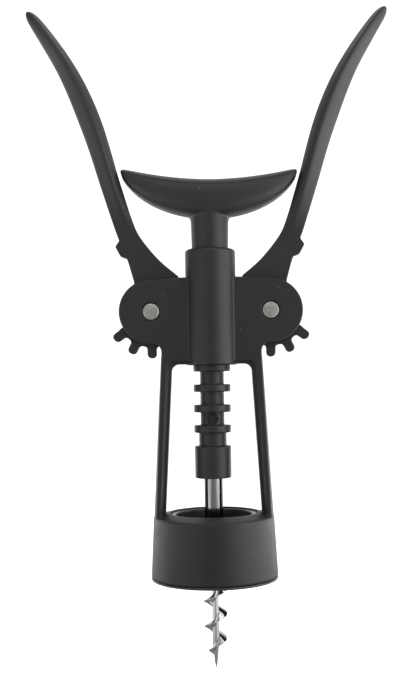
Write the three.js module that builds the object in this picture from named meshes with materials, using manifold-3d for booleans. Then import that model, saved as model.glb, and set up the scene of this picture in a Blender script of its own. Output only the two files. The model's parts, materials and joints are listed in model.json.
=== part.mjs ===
// A lever (wing) corkscrew: a die-cast frame with a bell that stands on the bottle, two toothed
// levers, a round rack between them, and a spindle of handle and worm that turns inside the rack.
// Millimetres, +Z up along the worm. The origin is the centre of the bell's mouth, and the
// levers swing in the XZ plane. Shown with the levers raised and the rack at its lowest.
import * as THREE from "three";
import { mergeVertices } from "three/addons/utils/BufferGeometryUtils.js";
import Module from "manifold-3d";

const wasm = await Module();
wasm.setup();

// ---- driving dimensions ----

const GAP = 0.3; // between pieces that are pressed or clipped together
const OVERRUN = 1; // how far a cutter reaches past the face that it cuts

// bell and its plastic liner
const BELL = { rMouth: 22.15, rTop: 20.85, zTop: 22, rHole: 15.2, zLip: 23.4, wall: 2.2, roofZ: 21.1 };
const LINER = { flange: 0.9, rFlange: 22.25, rOuter: 18.4, rInner: 16.8, seatZ: 19, rHole: 12.9 };
const LINER_ROOF_Z = BELL.roofZ - GAP;
const LINER_SPIGOT_Z = 22.6;

// lever pivots, hub plates and sleeve
const PIVOT_X = 20.9;
const PIVOT_Z = 93.7;
const HUB = { rEnd: 11.2, shoulderX: 8.7, shoulderZ: 105.5, halfDepth: 4, fillet: 3 };
const SLOT = { halfDepth: 2, radius: 16.7 };
const SLEEVE = { rOuter: 8.7, rBore: 6.75, zBottom: 74.9, zTop: 115.3, edge: 1.1 };
const PIN = { radius: 2.95, halfLength: 3.85, clearance: 0.08 };

// legs: inner and outer X, and half depth, at the bell and under the hub
const WINDOW = { z: 75.2, corner: 2.6, step: 0.7 };
const LEG = {
  zFoot: 21.4,
  zHead: 79,
  foot: { inner: 17.05, outer: 20.55, flange: 18.3, halfDepth: 6.6, web: 2.6 },
  head: { inner: 13.75, outer: 17.3, flange: 15.1, halfDepth: 4, web: 2.4 },
};
const LEG_BARREL = { rFoot: 20.95, rHead: 17.8 }; // the legs' outer corners follow the bell's round

// gear teeth of the levers and the rings of the rack, in mesh
const TEETH = { count: 6, pitchDeg: 27.1, firstDeg: 53.9, rTip: 16.2, rRoot: 12.3, width: 3.2 };
const RACK_PITCH = 7.14;
const RING = { count: 7, zFirst: 52.5, radius: 6.45, thickness: 2.6, edge: 0.45 };
const RACK = { rRoot: 4.15, rNeck: 4.8, rBore: 2.6 };
const COLLAR = { zBottom: 35.3, zTop: 46.5, radius: 6.35 };
const RETAINER = { z: 56.07, radius: 1.85, rOuter: 4.1, rInner: 1.85 };

// lever: outline around its pivot, u outward and v up, with the arm raised
const LEVER = { halfDepth: 1.75, rBoss: 10.8, ridgePower: 1.55 };
const ARM_INNER = [
  [-10.6, 2], [-9.8, 12.3], [-2.9, 18.3], [3.5, 26.3], [8.2, 37.5], [14.1, 58.3], [18, 70.3],
  [25.6, 86.2], [37.2, 102], [41, 105.9],
];
const ARM_OUTER = [
  [42.1, 106.1], [42.65, 105.3], [41.2, 102.1], [32.4, 86.3], [25.4, 70.3], [21.3, 58.3], [15.1, 38.5],
  [11.3, 26.3], [8.1, 18.3], [5.8, 10.3], [8, 0],
];
const NUB = [[10.2, 26], [12.3, 23], [10.55, 19.7], [7.6, 18.6], [8.3, 25]];
// grip stations: centre u, centre v, half thickness in the swing plane, half depth in Y
const GRIP = [
  [7.3, 26.3, 3.2, 1.6], [10.3, 34.3, 3.4, 2.6], [14.1, 46.3, 3.3, 4.2], [17.6, 58.3, 3.5, 5.1],
  [21.6, 70.3, 3.6, 5.3], [26.8, 82.3, 3.25, 5.2], [33.5, 94.3, 2.5, 4.6], [39.1, 102.3, 1.75, 3.6],
  [41.7, 105.7, 0.7, 1.8],
];

// handle: a crescent whose lower edge is an ellipse and whose top edge dips in the middle
const HANDLE = { halfWidth: 31, depth: 7.4, tipDepth: 2.6, topZ: 139.8, topRise: 3.6, topPower: 1.8 };
const HANDLE_TIP = { drop: 1.1, power: 24, minHeight: 0.7 };
const HANDLE_ELLIPSE = { a: 31.4, b: 20, z: 146.5 };
const STEM = { radius: 6.4, z: 97, flare: 1.4 };

// worm: right-handed auger on a steel spindle
const WORM = { tipZ: -31.8, flightTopZ: 17, pitch: 8.8, crestLeftZ: -8.06, rCrest: 3.95, rCore: 1 };
const FLIGHT = { halfBase: 1.7, halfCrest: 0.15, rBase: 0.7, stepsPerTurn: 16 };
const FLIGHT_RUN = { aboveTip: 2.55, growTurns: 1.185, fadeTurns: 0.6 };
const SHANK = { radius: 3.2, zShoulder: 34.9, rSpindle: 2.5, zTop: 112 };

const ROUND = 40; // sides of the larger round pieces
const FINE = 24; // sides of the smaller ones

// ---- solids: three.js geometry in, manifold-3d joins and cuts, three.js geometry out ----

function solid(geometry) {
  const bare = geometry.clone();
  bare.deleteAttribute("normal");
  bare.deleteAttribute("uv");
  const merged = mergeVertices(bare, 1e-4);
  return new wasm.Manifold(
    new wasm.Mesh({
      numProp: 3,
      vertProperties: new Float32Array(merged.attributes.position.array),
      triVerts: new Uint32Array(merged.index.array),
    }),
  );
}

function geometryOf(manifold) {
  const mesh = manifold.getMesh();
  const geometry = new THREE.BufferGeometry();
  geometry.setAttribute("position", new THREE.BufferAttribute(mesh.vertProperties, mesh.numProp));
  geometry.setIndex(new THREE.BufferAttribute(mesh.triVerts, 1));
  geometry.computeVertexNormals();
  return geometry;
}

const join = (solids) => solids.reduce((all, next) => all.add(next));
const cut = (body, cutters) => cutters.reduce((left, cutter) => left.subtract(cutter), body);

// A body of revolution about Z from [radius, z] corners, listed anticlockwise seen along +Y.
function turned(profile, sides) {
  const points = [...profile, profile[0]].map(([r, z]) => new THREE.Vector2(r, z));
  return solid(new THREE.LatheGeometry(points, sides).rotateX(Math.PI / 2));
}

function box(x0, x1, halfDepth, z0, z1) {
  const geometry = new THREE.BoxGeometry(x1 - x0, 2 * halfDepth, z1 - z0);
  return solid(geometry.translate((x0 + x1) / 2, 0, (z0 + z1) / 2));
}

// A round bar along Y.
function barY(x, z, radius, halfLength, sides = FINE) {
  const geometry = new THREE.CylinderGeometry(radius, radius, 2 * halfLength, sides);
  return solid(geometry.translate(x, 0, z));
}

// A flat plate in the XZ plane, centred on Y = 0.
function plate(shape, halfDepth, curveSegments = 10) {
  const options = { depth: 2 * halfDepth, bevelEnabled: false, curveSegments };
  const geometry = new THREE.ExtrudeGeometry(shape, options);
  return solid(geometry.translate(0, 0, -halfDepth).rotateX(Math.PI / 2));
}

// A closed skin over rings of points; each ring has the same number of points.
function loft(rings) {
  const sides = rings[0].length;
  const positions = rings.flat().flatMap((p) => [p.x, p.y, p.z]);
  const faces = [];
  for (let i = 0; i + 1 < rings.length; i++)
    for (let j = 0; j < sides; j++) {
      const [a, b] = [i * sides + j, i * sides + ((j + 1) % sides)];
      faces.push(a, b, b + sides, a, b + sides, a + sides);
    }
  const last = (rings.length - 1) * sides;
  for (let j = 1; j + 1 < sides; j++) {
    faces.push(0, j + 1, j);
    faces.push(last, last + j, last + j + 1);
  }
  const geometry = new THREE.BufferGeometry();
  geometry.setAttribute("position", new THREE.Float32BufferAttribute(positions, 3));
  geometry.setIndex(faces);
  const body = solid(geometry);
  if (body.volume() > 0) return body;
  for (let i = 0; i < faces.length; i += 3) [faces[i + 1], faces[i + 2]] = [faces[i + 2], faces[i + 1]];
  geometry.setIndex(faces);
  return solid(geometry);
}

// A block between a rectangle at its foot and one at its head.
function taperedBlock(zFoot, zHead, foot, head) {
  const corners = (x0, x1, y, z) => [
    new THREE.Vector3(x0, -y, z),
    new THREE.Vector3(x1, -y, z),
    new THREE.Vector3(x1, y, z),
    new THREE.Vector3(x0, y, z),
  ];
  return loft([corners(foot[0], foot[1], foot[2], zFoot), corners(head[0], head[1], head[2], zHead)]);
}

// Points of a closed oval: power 2 is an ellipse, less is a lens with a ridge, more is boxy.
function oval(sides, power, place) {
  const flatten = (t) => Math.sign(t) * Math.abs(t) ** (2 / power);
  return Array.from({ length: sides }, (_, j) => {
    const angle = (2 * Math.PI * j) / sides;
    return place(flatten(Math.cos(angle)), flatten(Math.sin(angle)));
  });
}

// ---- materials ----

const paint = (name, colour = 0x2b2c2d) =>
  new THREE.MeshStandardMaterial({ name, color: colour, roughness: 0.5, metalness: 0.15 });
const steel = (name, roughness) =>
  new THREE.MeshStandardMaterial({ name, color: 0xb8b6b2, roughness, metalness: 1 });
const plastic = (name) =>
  new THREE.MeshStandardMaterial({ name, color: 0x1b1b1c, roughness: 0.25, metalness: 0 });

// ---- frame casting ----

function bell() {
  const bottom = LINER.flange + GAP;
  const innerMouth = BELL.rMouth - BELL.wall;
  const innerTop = BELL.rTop - BELL.wall;
  return turned(
    [
      [innerMouth, bottom], [BELL.rMouth - 0.4, bottom], [BELL.rMouth, bottom + 0.5],
      [BELL.rTop + 0.05, BELL.zTop - 0.5], [BELL.rTop - 0.4, BELL.zTop],
      [BELL.rHole + 0.4, BELL.zLip], [BELL.rHole, BELL.zLip - 0.3], [BELL.rHole, BELL.roofZ],
      [innerTop, BELL.roofZ],
    ],
    ROUND,
  );
}

// How far out a face of the leg is at height z.
const legX = (face, z) =>
  THREE.MathUtils.mapLinear(z, LEG.zFoot, LEG.zHead, LEG.foot[face], LEG.head[face]);

// A leg has a T section: a flange on the outside and a narrower web towards the rack.
function leg(side) {
  const { foot, head, zFoot, zHead } = LEG;
  const flange = taperedBlock(
    zFoot, zHead,
    [side * foot.flange, side * foot.outer, foot.halfDepth],
    [side * head.flange, side * head.outer, head.halfDepth],
  );
  const web = taperedBlock(
    zFoot, zHead,
    [side * foot.inner, side * foot.outer, foot.web],
    [side * head.inner, side * head.outer, head.web],
  );
  return flange.add(web).intersect(legBarrel());
}

// The slender cone that the legs' outer corners are trimmed to.
function legBarrel() {
  const low = LEG.zFoot;
  const high = LEG.zHead;
  return turned([[0, low], [LEG_BARREL.rFoot, low], [LEG_BARREL.rHead, high], [0, high]], 2 * ROUND);
}

// The gusset where a leg lands on the bell's sloping top.
function foot(side) {
  const { inner, outer, halfDepth } = LEG.foot;
  return taperedBlock(
    LEG.zFoot, LEG.zFoot + 4,
    [side * (inner - 0.4), side * outer, halfDepth],
    [side * inner, side * (outer - 0.15), halfDepth - 0.6],
  ).intersect(legBarrel());
}

// One outline serves both hub plates: round ends about the pivots, a slightly domed top,
// and a concave fillet into each leg.
function hubOutline() {
  const { rEnd, shoulderX, shoulderZ, fillet } = HUB;
  const edgeX = legX("outer", PIVOT_Z - rEnd - fillet);
  const baseZ = WINDOW.z + WINDOW.step;
  const filletX = edgeX + fillet;
  const drop = Math.sqrt((rEnd + fillet) ** 2 - (PIVOT_X - filletX) ** 2);
  const filletZ = PIVOT_Z - drop;
  const meet = Math.atan2(drop, PIVOT_X - filletX);
  const shape = new THREE.Shape();
  shape.moveTo(-edgeX, baseZ);
  shape.lineTo(edgeX, baseZ);
  shape.lineTo(edgeX, filletZ);
  shape.absarc(filletX, filletZ, fillet, Math.PI, meet, true);
  shape.absarc(PIVOT_X, PIVOT_Z, rEnd, meet - Math.PI, Math.PI / 2, false);
  shape.lineTo(shoulderX, shoulderZ);
  shape.lineTo(-shoulderX, shoulderZ);
  shape.absarc(-PIVOT_X, PIVOT_Z, rEnd, Math.PI / 2, 2 * Math.PI - meet, false);
  shape.absarc(-filletX, filletZ, fillet, Math.PI - meet, 0, true);
  return shape;
}

// The rounded corner between a leg and the top edge of the window, on one level of the step.
function windowCorner(side, level, topZ, halfDepth) {
  const radius = WINDOW.corner;
  const x = side * legX(level, topZ - radius);
  const shape = new THREE.Shape();
  shape.moveTo(x + side * 2, topZ + 1);
  shape.lineTo(x + side * 2, topZ - radius);
  shape.lineTo(x, topZ - radius);
  shape.absarc(x - side * radius, topZ - radius, radius, side > 0 ? 0 : Math.PI, Math.PI / 2, side < 0);
  shape.lineTo(x - side * radius, topZ + 1);
  return plate(shape, halfDepth, 6);
}

// The web that closes the window at the top and steps back behind the hub plates.
function lintel() {
  const { step, z } = WINDOW;
  const reach = LEG.head.outer;
  const corners = [-1, 1].flatMap((side) => [
    windowCorner(side, "inner", z, LEG.head.web),
    windowCorner(side, "flange", z + step, HUB.halfDepth),
  ]);
  return join([box(-reach, reach, LEG.head.web, z, z + 3), ...corners]);
}

function sleeve() {
  const { rOuter, rBore, zBottom, zTop, edge } = SLEEVE;
  return turned(
    [
      [rBore, zBottom], [rOuter - 0.4, zBottom], [rOuter, zBottom + 0.4], [rOuter, zTop - edge],
      [rOuter - 0.3 * edge, zTop - 0.3 * edge], [rOuter - edge, zTop], [rBore, zTop],
    ],
    ROUND,
  );
}

// The slot between the hub plates that the levers swing in, open above and on the outside.
function leverSlot(side) {
  const reach = PIVOT_X + HUB.rEnd + OVERRUN;
  const inner = SLEEVE.rOuter + GAP;
  const span = (a, b) => [Math.min(side * a, side * b), Math.max(side * a, side * b)];
  return join([
    barY(side * PIVOT_X, PIVOT_Z, SLOT.radius, SLOT.halfDepth, ROUND),
    box(...span(inner, reach), SLOT.halfDepth, PIVOT_Z, HUB.shoulderZ + OVERRUN),
    box(...span(PIVOT_X, reach), SLOT.halfDepth, PIVOT_Z - HUB.rEnd - OVERRUN, PIVOT_Z + OVERRUN),
  ]);
}

function frameGeometry() {
  const bore = turned(
    [
      [0, WINDOW.z - 3], [SLEEVE.rBore, WINDOW.z - 3], [SLEEVE.rBore, SLEEVE.zTop + 1],
      [0, SLEEVE.zTop + 1],
    ],
    ROUND,
  );
  const sides = [-1, 1];
  const body = join([
    bell(), plate(hubOutline(), HUB.halfDepth), lintel(), sleeve(),
    ...sides.flatMap((side) => [leg(side), foot(side)]),
  ]);
  const pinHole = (side) => barY(side * PIVOT_X, PIVOT_Z, PIN.radius + PIN.clearance, 2 * HUB.halfDepth);
  const throat = turned(
    [[0, 0], [BELL.rHole, 0], [BELL.rHole, BELL.zLip + 8], [0, BELL.zLip + 8]],
    ROUND,
  );
  const cavity = turned(
    [
      [0, 0], [BELL.rMouth - BELL.wall, 0], [BELL.rTop - BELL.wall, BELL.roofZ], [0, BELL.roofZ],
    ],
    ROUND,
  );
  const cutters = [bore, throat, cavity, ...sides.map(leverSlot), ...sides.map(pinHole)];
  return geometryOf(cut(body, cutters));
}

// ---- bell liner ----

function linerGeometry() {
  const { flange, rFlange, rOuter, rInner, seatZ, rHole } = LINER;
  const rSpigot = BELL.rHole - GAP;
  return geometryOf(
    turned(
      [
        [rInner, 0], [rFlange - 0.3, 0], [rFlange, 0.3], [rFlange, flange], [rOuter, flange],
        [rOuter, LINER_ROOF_Z], [rSpigot, LINER_ROOF_Z], [rSpigot, LINER_SPIGOT_Z],
        [rHole + 0.3, LINER_SPIGOT_Z], [rHole, LINER_SPIGOT_Z - 0.3], [rHole, seatZ], [rInner, seatZ],
      ],
      ROUND,
    ),
  );
}

// ---- levers ----

function armPlate() {
  const inner = new THREE.SplineCurve(ARM_INNER.slice(1).map((p) => new THREE.Vector2(...p)));
  const outer = new THREE.SplineCurve(ARM_OUTER.slice(0, -1).map((p) => new THREE.Vector2(...p)));
  const points = [...inner.getPoints(26), ...outer.getPoints(26)];
  const corners = [ARM_OUTER.at(-1), ARM_INNER[0]].map((p) => new THREE.Vector2(...p));
  return plate(new THREE.Shape([...points, ...corners]), LEVER.halfDepth);
}

// The grip widens in Y above the flat arm; its lens section has a ridge front and back.
function grip() {
  const stations = GRIP.map((s) => new THREE.Vector4(...s));
  const rings = stations.map((station, i) => {
    const before = stations[Math.max(i - 1, 0)];
    const after = stations[Math.min(i + 1, stations.length - 1)];
    const along = new THREE.Vector2(after.x - before.x, after.y - before.y).normalize();
    return oval(
      12, LEVER.ridgePower,
      (c, s) => new THREE.Vector3(
        station.x + c * station.z * along.y,
        s * station.w,
        station.y - c * station.z * along.x,
      ),
    );
  });
  return loft(rings);
}

// Angles from straight down, outward positive. A tooth has parallel flanks and a round tip.
function tooth(degrees) {
  const angle = THREE.MathUtils.degToRad(degrees);
  const half = TEETH.width / 2;
  const shape = new THREE.Shape();
  shape.moveTo(-half - 0.4, -TEETH.rRoot + 1);
  shape.lineTo(-half, -TEETH.rRoot - 0.6);
  shape.lineTo(-half, -TEETH.rTip + half);
  shape.absarc(0, -TEETH.rTip + half, half, Math.PI, 2 * Math.PI, false);
  shape.lineTo(half, -TEETH.rRoot - 0.6);
  shape.lineTo(half + 0.4, -TEETH.rRoot + 1);
  return plate(shape, LEVER.halfDepth, 5).rotate([0, THREE.MathUtils.radToDeg(-angle), 0]);
}

function gearSector() {
  const from = THREE.MathUtils.degToRad(TEETH.firstDeg - (TEETH.count - 1) * TEETH.pitchDeg - 8 - 90);
  const to = THREE.MathUtils.degToRad(TEETH.firstDeg + 4 - 90);
  const shape = new THREE.Shape();
  shape.moveTo(0, 0);
  shape.absarc(0, 0, TEETH.rRoot, from, to, false);
  return plate(shape, LEVER.halfDepth, 24);
}

function nub() {
  return plate(new THREE.Shape(NUB.map((p) => new THREE.Vector2(...p))), LEVER.halfDepth);
}

function leverGeometry() {
  const angles = Array.from({ length: TEETH.count }, (_, i) => TEETH.firstDeg - i * TEETH.pitchDeg);
  const body = join([
    barY(0, 0, LEVER.rBoss, LEVER.halfDepth, ROUND), armPlate(), grip(), gearSector(), nub(),
    ...angles.map(tooth),
  ]);
  return geometryOf(cut(body, [barY(0, 0, PIN.radius + PIN.clearance, OVERRUN + LEVER.halfDepth)]));
}

// ---- pivot pins ----

function pinGeometry() {
  const { radius, halfLength } = PIN;
  const chamfer = 0.3;
  return geometryOf(
    turned(
      [
        [0, -halfLength], [radius - chamfer, -halfLength], [radius, -halfLength + chamfer],
        [radius, halfLength - chamfer], [radius - chamfer, halfLength], [0, halfLength],
      ],
      FINE,
    ),
  );
}

// ---- rack: round rings that mesh with the levers however the handle is turned ----

function rackGeometry() {
  const { rRoot, rNeck, rBore } = RACK;
  const { radius, thickness, edge } = RING;
  const profile = [
    [rBore, COLLAR.zBottom], [COLLAR.radius - 0.8, COLLAR.zBottom],
    [COLLAR.radius, COLLAR.zBottom + 0.8], [COLLAR.radius, COLLAR.zTop - 0.3],
    [COLLAR.radius - 0.3, COLLAR.zTop], [rNeck, COLLAR.zTop],
  ];
  for (let i = 0; i < RING.count; i++) {
    const z = RING.zFirst + i * RACK_PITCH;
    const [low, high] = [z - thickness / 2, z + thickness / 2];
    profile.push([i ? rRoot : rNeck, low], [radius - edge, low], [radius, low + edge]);
    if (i === RING.count - 1) profile.push([radius, high], [rBore, high]);
    else profile.push([radius, high - edge], [radius - edge, high], [rRoot, high]);
  }
  const blank = turned(profile, FINE);
  const pinHole = new THREE.CylinderGeometry(RETAINER.radius + 0.05, RETAINER.radius + 0.05, 6, 16);
  return geometryOf(cut(blank, [solid(pinHole.translate(0, -3.5, RETAINER.z))]));
}

// The painted-over pin that keeps the spindle from sliding along the rack: its inner end runs in
// a groove round the spindle.
function retainerGeometry() {
  const { rOuter, rInner, radius, z } = RETAINER;
  const geometry = new THREE.CylinderGeometry(radius, radius, rOuter - rInner, 16);
  return geometry.translate(0, -(rOuter + rInner) / 2, z);
}

// ---- handle: crescent grip and stem in one casting ----

function crescent() {
  const { halfWidth, depth, tipDepth, topZ, topRise, topPower } = HANDLE;
  const { a, b, z } = HANDLE_ELLIPSE;
  const stations = 18;
  const rings = Array.from({ length: stations + 1 }, (_, i) => {
    const x = -halfWidth * Math.cos((Math.PI * (i + 0.35)) / (stations + 0.7));
    const t = Math.abs(x) / halfWidth;
    const top = topZ + topRise * t ** topPower - HANDLE_TIP.drop * t ** HANDLE_TIP.power;
    const bottom = z - b * Math.sqrt(1 - (x / a) ** 2);
    const halfHeight = Math.max(top - bottom, HANDLE_TIP.minHeight) / 2;
    const halfDepth = tipDepth + (depth - tipDepth) * Math.sqrt(1 - t * t);
    const middle = (top + bottom) / 2;
    return oval(12, 2.2, (c, s) => new THREE.Vector3(x, halfDepth * c, middle + halfHeight * s));
  });
  return loft(rings);
}

// The stem flares where it meets the underside of the crescent, and dies out inside it.
function stem() {
  const top = HANDLE.topZ - 5;
  const underside = HANDLE_ELLIPSE.z - HANDLE_ELLIPSE.b;
  const { radius, z, flare } = STEM;
  return turned(
    [
      [0, z], [radius, z], [radius, underside - flare], [radius + 0.3 * flare, underside - 0.4 * flare],
      [radius + flare, underside + 0.3], [radius, underside + 3 * flare], [radius, top], [0, top],
    ],
    ROUND,
  );
}

function handleGeometry() {
  const socket = turned(
    [
      [0, STEM.z - OVERRUN], [RACK.rBore, STEM.z - OVERRUN], [RACK.rBore, SHANK.zTop + GAP],
      [0, SHANK.zTop + GAP],
    ],
    FINE,
  );
  return geometryOf(cut(crescent().add(stem()), [socket]));
}

// ---- worm ----

// The flight is a triangular thread swept round the core and fading out at both ends.
function flight() {
  const { tipZ, flightTopZ, pitch, crestLeftZ, rCrest } = WORM;
  const { halfBase, halfCrest, rBase, stepsPerTurn } = FLIGHT;
  const from = tipZ + FLIGHT_RUN.aboveTip;
  const steps = Math.round(((flightTopZ - from) / pitch) * stepsPerTurn);
  const rings = Array.from({ length: steps + 1 }, (_, i) => {
    const z = from + ((flightTopZ - from) * i) / steps;
    const angle = Math.PI + (2 * Math.PI * (z - crestLeftZ)) / pitch;
    const turnsIn = i / stepsPerTurn;
    const turnsLeft = (steps - i) / stepsPerTurn;
    const full = Math.min(1, turnsIn / FLIGHT_RUN.growTurns, turnsLeft / FLIGHT_RUN.fadeTurns);
    const grow = Math.sin((Math.max(full, 0.04) * Math.PI) / 2);
    const crest = rBase + (rCrest - rBase) * grow;
    const base = rBase * Math.min(1, 0.55 + turnsIn);
    const at = (r, dz) => new THREE.Vector3(r * Math.cos(angle), r * Math.sin(angle), z + dz);
    return [
      at(base, -halfBase * grow), at(crest, -halfCrest * grow), at(crest, halfCrest * grow),
      at(base, halfBase * grow),
    ];
  });
  return loft(rings);
}

function wormGeometry() {
  const { tipZ, flightTopZ, rCore } = WORM;
  const { radius, zShoulder, rSpindle, zTop } = SHANK;
  const groove = RETAINER.rInner - 0.15;
  const halfGroove = RETAINER.radius + 0.15;
  const [grooveLow, grooveHigh] = [RETAINER.z - halfGroove, RETAINER.z + halfGroove];
  const core = turned(
    [
      [0, tipZ], [0.45, tipZ + 2.2], [rCore, tipZ + 9], [rCore, flightTopZ - 3],
      [radius, flightTopZ + 1.5], [radius, zShoulder], [rSpindle, zShoulder],
      [rSpindle, grooveLow], [groove, grooveLow], [groove, grooveHigh], [rSpindle, grooveHigh],
      [rSpindle, zTop - 0.5], [rSpindle - 0.5, zTop], [0, zTop],
    ],
    FINE,
  );
  return geometryOf(core.add(flight()));
}

// ---- assembly ----

function part(name, geometry, material) {
  const mesh = new THREE.Mesh(geometry, material);
  mesh.name = name;
  return mesh;
}

const corkscrew = new THREE.Group();
corkscrew.add(part("frame_casting", frameGeometry(), paint("frame paint")));
corkscrew.add(part("bell_liner", linerGeometry(), plastic("liner plastic")));

// Each lever and its pin sit at a pivot; the left side is the right side turned half round.
for (const [side, turn, pivotX] of [["right", 0, PIVOT_X], ["left", Math.PI, -PIVOT_X]]) {
  const pivot = new THREE.Group();
  pivot.position.set(pivotX, 0, PIVOT_Z);
  pivot.rotation.z = turn;
  pivot.add(part(side + "_lever", leverGeometry(), paint(side + " lever paint")));
  const pin = part(side + "_pivot_pin", pinGeometry(), steel(side + " pin steel", 0.5));
  pin.rotation.x = Math.PI / 2;
  pivot.add(pin);
  corkscrew.add(pivot);
}

corkscrew.add(part("rack", rackGeometry(), paint("rack paint")));
corkscrew.add(part("spindle_retaining_pin", retainerGeometry(), paint("retaining pin paint")));

const spindle = new THREE.Group();
spindle.add(part("handle", handleGeometry(), paint("handle paint")));
spindle.add(part("worm", wormGeometry(), steel("worm steel", 0.12)));
corkscrew.add(spindle);

export default corkscrew;
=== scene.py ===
import copy
import json
import math

import bmesh
import bpy
import numpy as np
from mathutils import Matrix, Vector


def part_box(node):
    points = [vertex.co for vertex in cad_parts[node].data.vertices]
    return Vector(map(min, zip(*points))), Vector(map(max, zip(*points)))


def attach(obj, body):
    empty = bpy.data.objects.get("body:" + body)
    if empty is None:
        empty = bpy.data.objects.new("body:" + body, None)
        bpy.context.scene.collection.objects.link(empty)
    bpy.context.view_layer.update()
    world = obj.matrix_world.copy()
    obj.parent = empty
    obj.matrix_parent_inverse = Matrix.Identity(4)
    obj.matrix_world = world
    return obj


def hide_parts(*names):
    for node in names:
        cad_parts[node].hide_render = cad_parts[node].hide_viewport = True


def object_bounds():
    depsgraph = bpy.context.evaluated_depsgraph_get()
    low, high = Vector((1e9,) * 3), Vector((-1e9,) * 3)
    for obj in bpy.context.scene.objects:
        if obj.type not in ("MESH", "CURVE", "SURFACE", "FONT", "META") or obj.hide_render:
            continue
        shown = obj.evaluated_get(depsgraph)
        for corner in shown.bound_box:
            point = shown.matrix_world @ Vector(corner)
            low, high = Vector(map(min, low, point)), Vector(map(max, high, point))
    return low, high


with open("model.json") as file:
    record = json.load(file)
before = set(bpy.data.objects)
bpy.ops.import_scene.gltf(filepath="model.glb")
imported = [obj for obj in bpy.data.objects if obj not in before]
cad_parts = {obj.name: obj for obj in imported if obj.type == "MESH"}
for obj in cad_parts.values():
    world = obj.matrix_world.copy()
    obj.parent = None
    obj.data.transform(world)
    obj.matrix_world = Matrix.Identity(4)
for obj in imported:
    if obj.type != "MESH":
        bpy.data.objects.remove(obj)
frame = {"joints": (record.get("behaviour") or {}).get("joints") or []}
CAD_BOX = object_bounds()
MM = 0.001


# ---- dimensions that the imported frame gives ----


def joint_place(name):
    """A joint's place at rest, in millimetres."""
    joint = next(j for j in frame["joints"] if j["name"] == name)
    return [round(c / MM, 3) for c in joint["pos_m"]]


def node_box(name):
    """A CAD node's lowest and highest corners, in millimetres."""
    return [[round(c / MM, 3) for c in corner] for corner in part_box(name)]


def node_middle(name):
    return [round((low + high) / 2, 3) for low, high in zip(*node_box(name))]


def node_half(name):
    """Half of a CAD node's size along X, Y and Z."""
    return [round((high - low) / 2, 3) for low, high in zip(*node_box(name))]


PIVOT = joint_place("right_lever_hinge")[::2]  # the right lever's axis, along X and Z
PIN_RADIUS = node_half("right_pivot_pin")[0]
SLEEVE_TOP = node_box("frame_casting")[1][2]
LINER_R = node_half("bell_liner")[0]
RACK_LOW, RACK_R = node_box("rack")[0][2], node_half("rack")[0]
RETAINER_Z, RETAINER_R = node_middle("spindle_retaining_pin")[2], node_half("spindle_retaining_pin")[0]
STEM_LOW, HANDLE_HALF_DEPTH = node_box("handle")[0][2], node_half("handle")[1]
WORM_TIP, WORM_END = (corner[2] for corner in node_box("worm"))


# ---- distance fields ----
# A field is negative inside the material and positive outside, in millimetres.


def round_union(a, b, r):
    """Joins two fields with a concave fillet of radius r between them."""
    near = np.maximum(r, np.minimum(a, b))
    return near - np.hypot(np.maximum(r - a, 0), np.maximum(r - b, 0))


def round_intersection(a, b, r):
    """Keeps what is in both fields, with the edge between them rounded to r."""
    far = np.minimum(-r, np.maximum(a, b))
    return far + np.hypot(np.maximum(r + a, 0), np.maximum(r + b, 0))


def round_cut(a, cutter, r):
    return round_intersection(a, -cutter, r)


def slab(outline, across, half, r):
    """A plate: an outline's field carried to +-half across it, its edges rounded to r."""
    return round_intersection(outline, across - half, r)


def box2(u, v, centre_u, centre_v, half_u, half_v, r):
    """A rectangle with corners rounded to r."""
    du = np.abs(u - centre_u) - half_u + r
    dv = np.abs(v - centre_v) - half_v + r
    return np.hypot(np.maximum(du, 0), np.maximum(dv, 0)) + np.minimum(np.maximum(du, dv), 0) - r


def polygon_distance(points, u, v):
    """Signed distance to a closed polygon."""
    best = np.full(np.broadcast(u, v).shape, 1e9, np.float32)
    inside = np.zeros(best.shape, bool)
    for (u0, v0), (u1, v1) in zip(points, np.roll(points, -1, axis=0)):
        eu, ev = u1 - u0, v1 - v0
        length = eu * eu + ev * ev
        if length < 1e-12:
            continue
        t = np.clip(((u - u0) * eu + (v - v0) * ev) / length, 0, 1)
        best = np.minimum(best, (u - u0 - t * eu) ** 2 + (v - v0 - t * ev) ** 2)
        if v0 != v1:
            crosses = ((v0 > v) != (v1 > v)) & (u < u0 + (v - v0) * eu / ev)
            inside ^= crosses
    return np.sqrt(best) * np.where(inside, -1, 1)


def line_distance(points, u, v):
    """Distance to an open polyline."""
    best = np.full(np.broadcast(u, v).shape, 1e9, np.float32)
    for (u0, v0), (u1, v1) in zip(points[:-1], points[1:]):
        eu, ev = u1 - u0, v1 - v0
        t = np.clip(((u - u0) * eu + (v - v0) * ev) / (eu * eu + ev * ev), 0, 1)
        best = np.minimum(best, (u - u0 - t * eu) ** 2 + (v - v0 - t * ev) ** 2)
    return np.sqrt(best)


def blurred(grid, sigma):
    """A small Gaussian blur, which rounds the corners of an outline's field."""
    reach = int(math.ceil(2.5 * sigma))
    weights = np.exp(-0.5 * (np.arange(-reach, reach + 1) / sigma) ** 2)
    weights /= weights.sum()
    for axis in (0, 1):
        pad = [(reach, reach) if a == axis else (0, 0) for a in (0, 1)]
        wide = np.pad(grid, pad, mode="edge")
        n = grid.shape[axis]
        grid = sum(w * np.take(wide, range(i, i + n), axis) for i, w in enumerate(weights))
    return grid


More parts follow.
